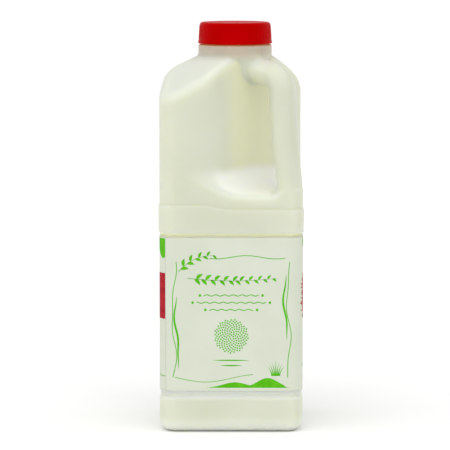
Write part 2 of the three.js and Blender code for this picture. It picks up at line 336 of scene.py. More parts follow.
# evens the skin out and draws it onto the solid
def settle(distance, points, quads):
    k = skinning
    starts, ends = np.concatenate([quads[:, [i, (i + 1) % 4]] for i in range(4)]).T
    size = len(points)
    counts = np.bincount(starts, minlength=size) + np.bincount(ends, minlength=size)
    for turn in range(k["rounds"]):
        if turn:
            mean = np.zeros_like(points)
            for axis, along in enumerate(points.T):
                total = np.bincount(starts, along[ends], size) + np.bincount(ends, along[starts], size)
                mean[:, axis] = total / counts
            points = points + k["evening"] * (mean - points)
        for pull in range(k["pulls"]):
            slope = slopeOf(distance, points)
            steepness = np.maximum((slope * slope).sum(axis=1), k["flattest"])
            move = -distance(*points.T)[:, None] * slope / steepness[:, None]
            length = np.linalg.norm(move, axis=1)[:, None]
            points = points + move * np.minimum(1, k["mostMove"] / np.maximum(length, 1e-9))
    return points


def placed(name, data):
    piece = bpy.data.objects.new(name, data)
    bpy.context.collection.objects.link(piece)
    return piece


def meshObject(name, points, faces, material):
    mesh = bpy.data.meshes.new(name)
    mesh.from_pydata([tuple(p * mm) for p in points], [], [tuple(int(i) for i in f) for f in faces])
    mesh.materials.append(material)
    mesh.update()
    return placed(name, mesh)


def outwards(mesh):
    shape = bmesh.new()
    shape.from_mesh(mesh)
    bmesh.ops.recalc_face_normals(shape, faces=shape.faces)
    shape.to_mesh(mesh)
    shape.free()


# node trees: a node's inputs are fed by name or by number, with a value, a node or a socket
def feed(tree, node, key, value):
    if isinstance(value, bpy.types.Node):
        value = value.outputs[0]
    if isinstance(value, bpy.types.NodeSocket):
        tree.links.new(value, node.inputs[key])
    else:
        node.inputs[key].default_value = value


def add(tree, kind, settings=None, **inputs):
    node = tree.nodes.new(kind)
    for key, value in (settings or {}).items():
        setattr(node, key, value)
    for key, value in inputs.items():
        feed(tree, node, key, value)
    return node


def doMath(tree, operation, *values):
    node = add(tree, "ShaderNodeMath", {"operation": operation})
    for i, value in enumerate(values):
        feed(tree, node, i, value)
    return node


def growTree(name, sizes):
    tree = bpy.data.node_groups.new(name, "GeometryNodeTree")
    tree.interface.new_socket(name="Geometry", in_out="INPUT", socket_type="NodeSocketGeometry")
    for size, kind in sizes.items():
        tree.interface.new_socket(name=size, in_out="INPUT", socket_type="NodeSocket" + kind)
    tree.interface.new_socket(name="material", in_out="INPUT", socket_type="NodeSocketMaterial")
    tree.interface.new_socket(name="Geometry", in_out="OUTPUT", socket_type="NodeSocketGeometry")
    return tree, tree.nodes.new("NodeGroupInput").outputs


def endTree(tree, inputs, shape):
    smooth = add(tree, "GeometryNodeSetShadeSmooth", Geometry=shape)
    real = add(tree, "GeometryNodeRealizeInstances", Geometry=smooth)
    coated = add(tree, "GeometryNodeSetMaterial", Geometry=real, Material=inputs["material"])
    feed(tree, tree.nodes.new("NodeGroupOutput"), "Geometry", coated)
    return tree


# runs a tree on a piece and keeps the result as a plain mesh
def grow(piece, tree, sizes, material):
    modifier = piece.modifiers.new("grow", "NODES")
    modifier.node_group = tree
    for item in tree.interface.items_tree:
        if item.in_out == "INPUT" and item.name in sizes:
            modifier[item.identifier] = sizes[item.name]
        if item.in_out == "INPUT" and item.name == "material":
            modifier[item.identifier] = material
    bpy.context.view_layer.update()
    evaluated = piece.evaluated_get(bpy.context.evaluated_depsgraph_get())
    mesh = bpy.data.meshes.new_from_object(evaluated)
    piece.modifiers.clear()
    piece.data = mesh
    return piece


# plain finishes: colours in linear light, noise scales for places in metres, and settings of the shader
finishes = {
    "cap": {
        "light": (0.47, 0.0, 0.001),
        "dark": (0.43, 0.0, 0.0),
        "roughness": 0.34,
        "patchScale": 60.0,
        "grainScale": 1800.0,
        "grainHeight": 0.00005,
        "shader": {
            "Subsurface Weight": 0.12,
            "Subsurface Radius": (1.0, 0.1, 0.05),
            "Subsurface Scale": 0.002,
            "Specular Tint": (1.0, 0.0, 0.0, 1.0),
            "IOR": 1.1,
        },
    },
    "film": {
        "light": (0.645, 0.68, 0.57),
        "dark": (0.62, 0.66, 0.54),
        "roughness": 0.5,
        "patchScale": 35.0,
        "grainScale": 1500.0,
        "grainHeight": 0.00004,
    },
    "green": {
        "light": (0.115, 0.50, 0.012),
        "dark": (0.085, 0.43, 0.008),
        "roughness": 0.5,
        "patchScale": 260.0,
        "grainScale": 2200.0,
        "grainHeight": 0.00003,
        "shader": {"IOR": 1.12},
    },
    "red": {
        "light": (0.43, 0.019, 0.03),
        "dark": (0.35, 0.011, 0.021),
        "roughness": 0.5,
        "patchScale": 220.0,
        "stretch": (0.35, 0.35, 2.0),
        "grainScale": 2200.0,
        "grainHeight": 0.00003,
        "shader": {"IOR": 1.12},
    },
    "floor": {
        "light": (0.95, 0.95, 0.945),
        "dark": (0.93, 0.93, 0.925),
        "roughness": 0.7,
        "patchScale": 3.0,
        "grainScale": 500.0,
        "grainHeight": 0.00005,
    },
}

# how the noises become patches of colour and spots of gloss
mottling = {
    "patches": (0.35, 0.65),
    "spots": (0.3, 0.7),
    "spotScale": 6,
    "smoother": 0.05,
    "rougher": 0.07,
    "grainStrength": 0.35,
}

# the bottle's finish: the milk's two shades, and tints that are laid over them one after the other; all the
# tints but the neck's are painted light and shade
bottleFinish = {
    "milk": (0.675, 0.695, 0.575),
    "shade": (0.645, 0.665, 0.53),
    "tints": {
        # painted light: a brighter, yellower line along the groove at the label's top
        "paintedFoldLight": (0.82, 0.825, 0.525),
        # painted light in the groove near the bottom and on the rounding under the base
        "paintedLowLight": (0.75, 0.775, 0.68),
        # painted shade: a darker, yellower line along the bumper's top edge
        "paintedCreaseShade": (0.65, 0.66, 0.49),
        # painted light: the grip's wall lighter and yellower than the milk
        "paintedGripWallLight": (0.76, 0.765, 0.54),
        # painted sheen: a greyer, less yellow tone on the faces that look up, for the light from above
        "roof": (0.655, 0.685, 0.60),
        # painted shade: the handle darker than the milk
        "handle": (0.61, 0.635, 0.53),
        # painted highlight on the shelf below the grip, brightest where it looks up
        "paintedCoveLight": (0.86, 0.865, 0.79),
        "neck": (0.53, 0.46, 0.36),
        # painted glow of the cap's red light on the neck just under the cap
        "paintedCapGlow": (0.86, 0.39, 0.18),
    },
    "cloudScale": 22.0,
    "wanderScale": 60.0,
    "wander": 0.004,
    "roughness": 0.42,
    "smoother": 0.05,
    "rougher": 0.08,
    "roughScale": 90.0,
    "bumps": [  # scale, stretch, height and strength
        (26.0, None, 0.0012, 0.25),
        (50.0, (3.0, 3.0, 0.5), 0.0003, 0.25),
        (1600.0, None, 0.00006, 0.3),
    ],
    "subsurface": 0.85,
    "shader": {"Subsurface Radius": (1.0, 0.95, 0.6), "Subsurface Scale": 0.012, "IOR": 1.5},
}

# where the tints, most of them painted light and shade, lie: each range goes from where a mask starts to
# where it is full, as a height, a depth towards the handle's corner or a distance in metres, or as a part of
# the surface's normal; two more numbers are the mask's values at both
tintPlaces = {
    # where the painted light on the grip's wall lies: the way the wall faces, and its depths and heights
    "wallFacing": (1.2, 1.4),
    "wallFront": (0.040, 0.032),
    "wallBack": (0.004, 0.014),
    "wallFoot": (0.1285, 0.1335),
    "wallSides": (0.040, 0.010),
    # where the painted highlight on the shelf below the grip lies
    "coveUp": (0.04, 0.5),
    "coveBack": (0.014, 0.024),
    "coveFoot": (0.128, 0.132),
    "coveTop": (0.156, 0.143),
    "coveRim": (0.55, 0.0, 0.1, 1.0),
    # the painted light along the groove at the label's top: its height, and how far it reaches
    "foldHeight": 0.1091,
    "paintedFoldLight": (0.0019, 0.0009),
    # painted light in the groove near the bottom, and on the rounding under the base
    "lowFoldHeight": 0.0214,
    "paintedLowFoldLight": (0.0032, 0.0012),
    "base": (0.011, 0.001),
    # the painted shade line along the bumper's top edge: where it lies, and how wide it is
    "creaseHeight": (0.0248, 0.0403, 0.1262, 0.1239),  # between two depths, and the heights there
    "paintedCreaseShade": (0.0009, 0.0002),
    # where the handle's painted shade lies
    "handleDepth": (0.042, 0.052),
    "handleFoot": (0.126, 0.145),
    # the painted sheen on faces that look up, by how far their normal points up
    "roofUp": (0.1, 0.7),
    "neck": (0.2045, 0.2112),
    # where the painted glow of the cap's red lies
    "paintedCapGlow": (0.2112, 0.2128),
}


def newMaterial(name):
    material = bpy.data.materials.new(name)
    material.use_nodes = True
    tree = material.node_tree
    shader = tree.nodes["Principled BSDF"]
    place = add(tree, "ShaderNodeTexCoord").outputs["Object"]
    return material, tree, shader, place


def noise(tree, place, scale, detail=3.0, stretch=None):
    if stretch:
        place = add(tree, "ShaderNodeMapping", Vector=place, Scale=stretch)
    return add(tree, "ShaderNodeTexNoise", Vector=place, Scale=scale, Detail=detail).outputs["Fac"]


def mixColours(tree, factor, a, b):
    node = add(tree, "ShaderNodeMix", {"data_type": "RGBA"})
    feed(tree, node, "Factor", factor)
    for key, colour in ((6, a), (7, b)):
        feed(tree, node, key, colour if isinstance(colour, bpy.types.NodeSocket) else (*colour, 1))
    return node.outputs[2]


def mapRange(tree, value, low, high, toLow=0.0, toHigh=1.0):
    return add(tree, "ShaderNodeMapRange", {"interpolation_type": "SMOOTHSTEP"}, Value=value,
               **{"From Min": low, "From Max": high, "To Min": toLow, "To Max": toHigh}).outputs["Result"]


def bumps(tree, shader, layers):
    normal = None
    for height, distance, strength in layers:
        bump = add(tree, "ShaderNodeBump", Height=height, Distance=distance, Strength=strength)
        if normal:
            feed(tree, bump, "Normal", normal)
        normal = bump
    feed(tree, shader, "Normal", normal)


def setShader(shader, settings):
    for key, value in settings.items():
        shader.inputs[key].default_value = value


def mottledPlastic(name):
    f, m = finishes[name], mottling
    material, tree, shader, place = newMaterial(name)
    patches = noise(tree, place, f["patchScale"], stretch=f.get("stretch"))
    colour = mixColours(tree, mapRange(tree, patches, *m["patches"]), f["dark"], f["light"])
    feed(tree, shader, "Base Color", colour)
    spots = noise(tree, place, f["patchScale"] * m["spotScale"], 2.0)
    smooth, rough = f["roughness"] - m["smoother"], f["roughness"] + m["rougher"]
    feed(tree, shader, "Roughness", mapRange(tree, spots, *m["spots"], smooth, rough))
    bumps(tree, shader, [(noise(tree, place, f["grainScale"], 2.0), f["grainHeight"], m["grainStrength"])])
    setShader(shader, f.get("shader", {}))
    return material


# milk seen through the wall, with light and shade painted on it: painted light along the grooves at the
# label's top and near the bottom and under the base, a painted shade line at the bumper's top, painted yellow
# light on the grip's wall and a painted highlight on the shelf below it, painted shade on the handle, a
# painted greyer sheen on faces that look up, and a neck that takes on some of the cap's red, with a painted
# glow of the cap's red just under the cap
def makeBottleFinish(name, subsurface):
    f, where = bottleFinish, tintPlaces
    material, tree, shader, place = newMaterial(name)
    x, y, height = add(tree, "ShaderNodeSeparateXYZ", Vector=place).outputs
    normal = add(tree, "ShaderNodeTexCoord").outputs["Normal"]
    wayX, wayY, up = add(tree, "ShaderNodeSeparateXYZ", Vector=normal).outputs

    def within(value, key):
        return mapRange(tree, value, *where[key])

    def awayFrom(value, target):
        return doMath(tree, "ABSOLUTE", doMath(tree, "SUBTRACT", value, target))

    def allOf(mask, *others):
        for other in others:
            mask = doMath(tree, "MULTIPLY", mask, other)
        return mask

    depth = doMath(tree, "SUBTRACT", x, y)
    facing = doMath(tree, "SUBTRACT", wayX, wayY)
    aside = doMath(tree, "ABSOLUTE", doMath(tree, "ADD", x, y))
    rim = doMath(tree, "ABSOLUTE", doMath(tree, "ADD", wayX, wayY))
    wander = doMath(tree, "MULTIPLY_ADD", noise(tree, place, f["wanderScale"]), f["wander"], height)
    # painted light in the groove near the bottom
    paintedLowFoldLight = within(awayFrom(height, where["lowFoldHeight"]), "paintedLowFoldLight")
    masks = {
        # painted light along the groove at the label's top
        "paintedFoldLight": within(awayFrom(height, where["foldHeight"]), "paintedFoldLight"),
        # painted light in the low groove and on the rounding under the base
        "paintedLowLight": doMath(tree, "MAXIMUM", paintedLowFoldLight, within(height, "base")),
        # painted shade line along the bumper's top edge
        "paintedCreaseShade": within(awayFrom(height, within(depth, "creaseHeight")), "paintedCreaseShade"),
        # painted yellow light on the grip's wall
        "paintedGripWallLight": allOf(within(facing, "wallFacing"), within(depth, "wallFront"), within(depth, "wallBack"),
                          within(height, "wallFoot"), within(aside, "wallSides")),
        # painted sheen on all faces that look up
        "roof": within(up, "roofUp"),
        # painted shade on the handle
        "handle": allOf(within(depth, "handleDepth"), within(height, "handleFoot")),
        # painted highlight on the shelf below the grip
        "paintedCoveLight": allOf(within(up, "coveUp"), within(depth, "coveBack"), within(height, "coveFoot"),
                      within(height, "coveTop"), within(rim, "coveRim")),
        "neck": within(wander, "neck"),
        # painted glow of the cap's red just under the cap
        "paintedCapGlow": within(height, "paintedCapGlow"),
    }
    clouds = mapRange(tree, noise(tree, place, f["cloudScale"], 4.0), *mottling["patches"])
    colour = mixColours(tree, clouds, f["shade"], f["milk"])
    for key, tint in f["tints"].items():
        colour = mixColours(tree, masks[key], colour, tint)
    feed(tree, shader, "Base Color", colour)
    spots = noise(tree, place, f["roughScale"])
    smooth, rough = f["roughness"] - f["smoother"], f["roughness"] + f["rougher"]
    feed(tree, shader, "Roughness", mapRange(tree, spots, *mottling["spots"], smooth, rough))
    layers = [(noise(tree, place, scale, 2.0, stretch), distance, strength)
              for scale, stretch, distance, strength in f["bumps"]]
    bumps(tree, shader, layers)
    setShader(shader, f["shader"])
    shader.inputs["Subsurface Weight"].default_value = subsurface
    return material


# the parting line has the bottle's finish without the light that spreads under its skin
def makeMaterials():
    made = {name: mottledPlastic(name) for name in finishes}
    made["bottle"] = makeBottleFinish("bottle", bottleFinish["subsurface"])
    made["seam"] = makeBottleFinish("seam", 0.0)
    return made


materials = makeMaterials()


def makeBottle():
    k = skinning
    cell = k["cell"]
    points, quads = skinOf(bottleDistance, k["low"], k["high"], cell)
    points = settle(bottleDistance, points, quads)
    piece = meshObject("bottleSkin", points, quads, materials["bottle"])
    piece.data.shade_smooth()
    print("bottle skin:", len(quads) * 2, "triangles")
    return piece


bottle = makeBottle()

# the parting line runs round the bottle in the mirror plane, and is left out inside the grip
partingLine = {
    "width": 0.6,
    "proud": 0.06,
    "step": 0.8,
    "sides": 8,
    "top": 211.0,
    "gripFrom": 15.0,
    "gripTo": 38.0,
    "gripTop": 194.0,
}


def beadTree():
    tree, inputs = growTree("sweptBead", {"width": "Float", "step": "Float", "sides": "Int"})
    path = add(tree, "GeometryNodeMeshToCurve", Mesh=inputs["Geometry"])
    even = add(tree, "GeometryNodeResampleCurve", {"mode": "LENGTH"}, Curve=path, Length=inputs["step"])
    ring = add(tree, "GeometryNodeCurvePrimitiveCircle", {"mode": "RADIUS"}, Radius=1.0,
               Resolution=inputs["sides"])
    scale = add(tree, "ShaderNodeCombineXYZ", X=inputs["width"], Y=inputs["width"])
    section = add(tree, "GeometryNodeTransform", Geometry=ring, Scale=scale)
    bead = add(tree, "GeometryNodeCurveToMesh", Curve=even, **{"Profile Curve": section, "Fill Caps": True})
    return endTree(tree, inputs, bead)


def inGrip(p):
    s = partingLine
    deep = s["gripFrom"] < (p.x - p.y) * diagonal < s["gripTo"]
    return deep and bodyShape["bumperTop"] < p.z < s["gripTop"]


def makePartingLine(skin):
    s = partingLine
    cut = bmesh.new()
    cut.from_mesh(skin.data)
    everything = cut.verts[:] + cut.edges[:] + cut.faces[:]
    found = bmesh.ops.bisect_plane(cut, geom=everything, plane_co=(0, 0, 0), plane_no=(1, 1, 0))
    edges = [e for e in found["geom_cut"] if isinstance(e, bmesh.types.BMEdge)]
    edges = [e for e in edges if max(v.co.z for v in e.verts) < s["top"] * mm]
    edges = [e for e in edges if not inGrip(e.verts[0].co / mm)]
    index = {}
    for e in edges:
        for v in e.verts:
            index.setdefault(v, len(index))
    points = np.array([v.co[:] for v in index]) / mm
    points = points - (s["width"] / 2 - s["proud"]) * slopeOf(bottleDistance, points)
    mesh = bpy.data.meshes.new("partingPath")
    mesh.from_pydata([tuple(p * mm) for p in points], [tuple(index[v] for v in e.verts) for e in edges], [])
    cut.free()
    piece = placed("partingLine", mesh)
    settings = {"width": s["width"] / 2 * mm, "step": s["step"] * mm, "sides": s["sides"]}
    return grow(piece, beadTree(), settings, materials["seam"])


seamLine = makePartingLine(bottle)

# the screw cap; the profile runs from the middle of its top over the skirt and back inside
capShape = {
    "middleRadius": 1.2,
    "dish": 0.35,
    "dishRadius": 16.6,
    "dishEdge": 1.0,
    "edgeRadius": 1.6,
    "edgeSteps": 8,
    "topRadius": 19.7,
    "skirtRadius": 20.08,
    "flareAt": 216.6,
    "flarePower": 1.6,
    "flareSteps": 6,
    "footRadius": 20.7,
    "footRound": 0.35,
    "footCorner": 0.1,
    "wall": 1.3,
    "roof": 1.7,
    "roofCorner": [(0.78, 1.0), (1.8, 0.0)],  # in from the top's radius, and below the roof
    "ribs": 96,
    "ribDepth": 0.14,
    "ribPower": 1.5,
    "ribFade": 0.8,
    "ribLow": 215.2,
    "ribHigh": 223.2,
    "around": 576,
    "along": 90,
}


def capProfile():
    s = capShape
    low, top = capLow[2], capHigh[2]
    roof = top - s["roof"]
    points = [(0, top - s["dish"]), (s["middleRadius"], top - s["dish"]), (s["dishRadius"], top - s["dish"])]
    points.append((s["dishRadius"] + s["dishEdge"] / 2, top - s["dish"] / 2))
    points.append((s["dishRadius"] + s["dishEdge"], top))
    for i in range(s["edgeSteps"] + 1):
        a = i / s["edgeSteps"] * math.pi / 2
        out, down = s["edgeRadius"] * (math.sin(a) - 1), s["edgeRadius"] * (math.cos(a) - 1)
        points.append((s["topRadius"] + out, top + down))
    points.append((s["skirtRadius"], s["flareAt"]))
    for i in range(1, s["flareSteps"] + 1):
        t = i / s["flareSteps"]
        out = (s["footRadius"] - s["skirtRadius"]) * t ** s["flarePower"]
        down = (low + s["footRound"] - s["flareAt"]) * t
        points.append((s["skirtRadius"] + out, s["flareAt"] + down))
    points.append((s["footRadius"] - s["footCorner"], low + s["footCorner"]))
    points += [(s["footRadius"] - s["footRound"], low), (s["footRadius"] - s["wall"], low)]
    points += [(s["topRadius"] - inset, roof - below) for inset, below in s["roofCorner"]]
    points.append((0, roof))
    return points


# the profile is spun round the cap's axis, and pushed out by the ribs between two heights of the skirt
def capTree():
    names = {"around": "Int", "along": "Int", "ribs": "Int", "ribDepth": "Float", "ribPower": "Float",
             "ribFade": "Float", "ribLow": "Float", "ribHigh": "Float", "axisX": "Float", "axisY": "Float",
             "skirt": "Float"}
    tree, inputs = growTree("ribbedCap", names)
    path = add(tree, "GeometryNodeMeshToCurve", Mesh=inputs["Geometry"])
    grid = add(tree, "GeometryNodeMeshGrid", **{"Size X": 1.0, "Size Y": 1.0, "Vertices X": inputs["around"],
                                                "Vertices Y": inputs["along"]})
    place = add(tree, "ShaderNodeSeparateXYZ", Vector=add(tree, "GeometryNodeInputPosition"))
    along = doMath(tree, "ADD", place.outputs["Y"], 0.5)
    turn = doMath(tree, "MULTIPLY", doMath(tree, "ADD", place.outputs["X"], 0.5), 2 * math.pi)
    sample = add(tree, "GeometryNodeSampleCurve", {"mode": "FACTOR"}, Curves=path, Factor=along)
    spot = add(tree, "ShaderNodeSeparateXYZ", Vector=sample.outputs["Position"])
    height = spot.outputs["Z"]
    wave = doMath(tree, "COSINE", doMath(tree, "MULTIPLY", turn, inputs["ribs"]))
    crest = doMath(tree, "POWER", doMath(tree, "MULTIPLY_ADD", wave, 0.5, 0.5), inputs["ribPower"])
    risen = doMath(tree, "ADD", inputs["ribLow"], inputs["ribFade"])
    ending = doMath(tree, "SUBTRACT", inputs["ribHigh"], inputs["ribFade"])
    ribbed = doMath(tree, "MULTIPLY", mapRange(tree, height, inputs["ribLow"], risen),
                    mapRange(tree, height, inputs["ribHigh"], ending))
    outside = doMath(tree, "LESS_THAN", along, inputs["skirt"])
    mask = doMath(tree, "MULTIPLY", ribbed, outside)
    rib = doMath(tree, "MULTIPLY", doMath(tree, "MULTIPLY", crest, inputs["ribDepth"]), mask)
    radius = doMath(tree, "ADD", spot.outputs["X"], rib)
    x = doMath(tree, "MULTIPLY_ADD", radius, doMath(tree, "COSINE", turn), inputs["axisX"])
    y = doMath(tree, "MULTIPLY_ADD", radius, doMath(tree, "SINE", turn), inputs["axisY"])
    spun = add(tree, "ShaderNodeCombineXYZ", X=x, Y=y, Z=height)
    shaped = add(tree, "GeometryNodeSetPosition", Geometry=grid.outputs["Mesh"], Position=spun)
    closed = add(tree, "GeometryNodeMergeByDistance", Geometry=shaped, Distance=1e-6)
    return endTree(tree, inputs, closed)


def makeCap():
    s = capShape
    points = np.array(capProfile())
    lengths = np.hypot(*np.diff(points, axis=0).T)
    foot = int(np.argmin(points[:, 1]))
    mesh = bpy.data.meshes.new("capProfile")
    edges = [(i, i + 1) for i in range(len(points) - 1)]
    mesh.from_pydata([(r * mm, 0, z * mm) for r, z in points], edges, [])
    piece = placed("capShell", mesh)
    settings = {key: s[key] * mm for key in ("ribDepth", "ribFade", "ribLow", "ribHigh")}
    settings.update(around=s["around"] + 1, along=s["along"], ribs=s["ribs"], ribPower=s["ribPower"],
                    axisX=neckX * mm, axisY=-neckX * mm, skirt=float(lengths[:foot].sum() / lengths.sum()))
    grow(piece, capTree(), settings, materials["cap"])
    outwards(piece.data)
    return piece


cap = makeCap()
print("cap:", len(cap.data.polygons), "faces")

# the label film and what is printed on it; s runs round the label from the middle of the front face to
# the right, so the faces' middles are a quarter of the way round apart
film = {
    "half": 39.49,
    "cornerRadius": 9.2,
    "thickness": 0.12,
    "lapStart": -36.6,
    "lapLength": 7.0,
    "lapEase": 12.0,
    "lapHeight": 0.15,
    "inkLift": 0.035,
    "step": 0.85,
    "rows": 24,
    "rowsInside": 2.0,
    "rim": 0.15,
    "rimInset": 0.05,
}
film["straight"] = 2 * (film["half"] - film["cornerRadius"])
film["quarter"] = film["straight"] + math.pi / 2 * film["cornerRadius"]
film["round"] = 4 * film["quarter"]


def filmPoint(s, z, lift):
    straight, radius, quarter = film["straight"], film["cornerRadius"], film["quarter"]
    corner = film["half"] - radius
    side = np.floor((s + straight / 2) / quarter)
    local = s + straight / 2 - side * quarter
    angle = np.maximum(local - straight, 0) / radius
    x = np.minimum(local, straight) - straight / 2 + (radius + lift) * np.sin(angle)
    y = -corner - (radius + lift) * np.cos(angle)
    turn = side * math.pi / 2
    turnedX, turnedY = x * np.cos(turn) - y * np.sin(turn), x * np.sin(turn) + y * np.cos(turn)
    return np.stack([turnedX, turnedY, z + 0 * x], axis=-1)


# the film's start is lifted over its end
def filmLift(s):
    t = s - film["lapStart"]
    return film["lapHeight"] * (1 - smoothStep(film["lapLength"], film["lapLength"] + film["lapEase"], t))


def makeFilm():
    low, high = labelLow[2], labelHigh[2]
    inside, rim = film["rowsInside"], film["rim"]
    t = np.arange(0, film["round"] + film["lapLength"], film["step"])
    s = film["lapStart"] + t
    between = np.linspace(low + inside, high - inside, film["rows"])
    rows = np.concatenate([[low, low + rim], between, [high - rim, high]])
    insets = [film["rimInset"] if z in (low, high) else 0 for z in rows]
    front = [filmPoint(s, z + 0 * s, filmLift(s) - inset) for z, inset in zip(rows, insets)]
    back = [filmPoint(s, z + 0 * s, filmLift(s) - film["thickness"]) for z in rows[::-1]]
    loops = np.array(front + back)
    count, columns = loops.shape[:2]
    faces = []
    for i in range(count):
        here, there = i * columns, (i + 1) % count * columns
        for j in range(columns - 1):
            faces.append((here + j, here + j + 1, there + j + 1, there + j))
    for j in (0, columns - 1):  # the film's two ends
        for i in range(count // 2 - 1):
            across = count - 1 - i
            ring = [row * columns + j for row in (i, i + 1, across - 1, across)]
            faces.append(ring if j == 0 else ring[::-1])
    piece = meshObject("labelFilm", loops.reshape(-1, 3), faces, materials["film"])
    layer = piece.data.uv_layers.new(name="wrap")
    spots = np.array([(u, v) for v in np.concatenate([rows, rows[::-1]]) for u in t])
    spots = (spots - (0, low)) / (film["round"], high - low)
    for loop in piece.data.loops:
        layer.data[loop.index].uv = spots[loop.vertex_index]
    piece.data.shade_smooth()
    outwards(piece.data)
    return piece


label = makeFilm()
print("label film:", len(label.data.polygons), "faces")

# each printed shape is a ribbon: a middle line on the film and a width along it
inkDesign = {
    "seed": 7,
    "lineWidth": 0.42,
    "low": 25.2,
    "leafLength": 4.6,
    "leafWidth": 1.9,
    "leafThin": 0.05,
    "leafBend": 0.12,
    "leafPower": 0.8,
    "leafAngle": 0.75,
    "leafShrink": 0.4,
    "leafFrom": 3,
    "leafSpan": 34,
    "stemWidth": 0.34,
    "stemTaper": 0.2,
    "stemPoints": 40,
    "hillThin": 0.05,
    "hillEnd": 4,
}

# the card on the front and back: places are measured from its middle, heights from the floor
cardDesign = {
    "sideLine": {"low": 31, "high": 95, "away": 31.5, "swing": 1.1, "wave": 7.5, "ripple": 0.5,
                 "rippleWave": 3.9},
    "brush": {"low": 44, "lowShift": 8, "high": 82, "highShift": 6, "away": 29.9, "swing": 1.1, "wave": 7.5,
              "ripple": 0.4, "rippleWave": 3.1, "thin": 0.12, "width": 1.0, "power": 0.7},
    "topLine": {"from": -12, "to": 29.5, "height": 97.6, "swing": 0.9, "wave": 5.2},
    "lowLine": {"from": -31, "to": 12, "height": 30.5, "swing": 2.1, "wave": 9.0},
    "lowLineWidth": 0.8,
    "sprigs": [((-29, 89.5), (-9, 98.5), 0.12, 9), ((-24, 86.0), (25, 86.0), -0.03, 19)],
    "rows": [(76.5, 15), (72.5, 19), (68.5, 12)],  # height, and reach to both sides
    "row": {"width": 0.5, "swing": 0.35, "wave": 1.3, "dotRadius": 0.75, "dotAway": 2.2},
    "bars": [(40.5, 10), (37.6, 6)],
    "bar": {"thin": 0.05, "width": 0.7},
    "hill": {"from": -14, "to": 32, "peaks": [(2, 3.0, 9), (20, 5.4, 8)]},  # place, height and spread
    "grass": {"blades": 7, "middle": 24.5, "foot": 31.8, "apart": 0.7, "lean": 0.16, "length": 8.5,
              "shorter": 1.1, "thin": 0.06, "width": 0.75},
}

# the panel on the other two faces; the last one runs on under the film's overlap
panelDesign = {
    "field": {"low": 63.2, "high": 88.6, "rows": 26, "reach": 33.3, "ragged": 2.6, "rounding": 1.6,
              "tail": 0.8, "tip": 0.15, "tipLength": 1.5, "lapped": 5},
    "border": {"top": 107.7, "reach": 33, "lapped": 45, "depth": 3.4, "swing": 2.4, "wave": 6.1,
               "dropAt": 36.5, "drop": 5.2, "dropSpread": 4.5},
    "line": {"from": -34, "to": 34, "height": 34.6, "swing": 3.2, "wave": 8.0},
    "lineLapped": 40,
    "lineWidth": 0.4,
    "hill": {"from": -30, "to": 30, "peaks": [(-14, 5.2, 8), (8, 3.6, 10)]},
    "sprig": ((-20, 52), (20, 52), 0.05, 15),
}
rosetteDesign = {"dots": 170, "radius": 9.4, "dotRadius": 0.46, "height": 54.0}
inks = {"green": [], "red": []}


def ribbon(ink, path, width):
    path = np.asarray(path, dtype=float)
    along = np.gradient(path, axis=0)
    along /= np.maximum(np.linalg.norm(along, axis=1), 1e-9)[:, None]
    half = np.asarray(width) / 2 * np.ones(len(path))
    across = np.stack([-along[:, 1], along[:, 0]], axis=1) * half[:, None]
    inks[ink].append((path + across, path - across))


def line(start, end, count):
    return np.linspace(start, end, count)


def drawWave(middle, w, count, width):
    s = line(middle + w["from"], middle + w["to"], count)
    ribbon("green", np.stack([s, w["height"] + w["swing"] * np.sin((s - middle) / w["wave"])], axis=1), width)


def drawLeaf(root, angle, length, width):
    d = inkDesign
    t = line(0, 1, 9)
    way = np.array([math.cos(angle), math.sin(angle)])
    bend = np.array([-way[1], way[0]]) * d["leafBend"] * length
    path = np.array(root) + t[:, None] * length * way + (t * (1 - t))[:, None] * 4 * bend
    ribbon("green", path, d["leafThin"] + width * np.sin(math.pi * t ** d["leafPower"]))


def drawSprig(middle, start, end, arch, leaves):
    d = inkDesign
    t = line(0, 1, d["stemPoints"])
    start, end = np.array(start, float) + (middle, 0), np.array(end, float) + (middle, 0)
    lift = np.array([-(end - start)[1], (end - start)[0]]) * arch
    path = start + t[:, None] * (end - start) + (4 * t * (1 - t))[:, None] * lift
    ribbon("green", path, d["stemWidth"] - d["stemTaper"] * t)
    for i in range(leaves):
        at = int(d["leafFrom"] + i * d["leafSpan"] / max(leaves - 1, 1))
        way = path[at + 1] - path[at - 1]
        side = 1 if i % 2 else -1
        angle = math.atan2(way[1], way[0]) + side * d["leafAngle"]
        size = d["leafLength"] * (1 - d["leafShrink"] * i / leaves)
        drawLeaf(path[at], angle, size, d["leafWidth"] * size / d["leafLength"])


def drawDot(centre, radius):
    t = line(-1, 1, 9)
    path = np.array(centre) + np.stack([t * radius, 0 * t], axis=1)
    ribbon("green", path, 2 * radius * np.sqrt(np.maximum(1 - t * t, 0.002)))


def drawHill(middle, hill):
    d = inkDesign
    left, right = middle + hill["from"], middle + hill["to"]
    s = line(left, right, 60)
    top = 0 * s
    for at, height, spread in hill["peaks"]:
        top = np.maximum(top, height * np.exp(-((s - (middle + at)) / spread) ** 2))
    ends = smoothStep(left, left + d["hillEnd"], s) * (1 - smoothStep(right - d["hillEnd"], right, s))
    top = d["low"] + (d["hillThin"] + top * ends)
    inks["green"].append((np.stack([s, top], axis=1), np.stack([s, d["low"] + 0 * s], axis=1)))


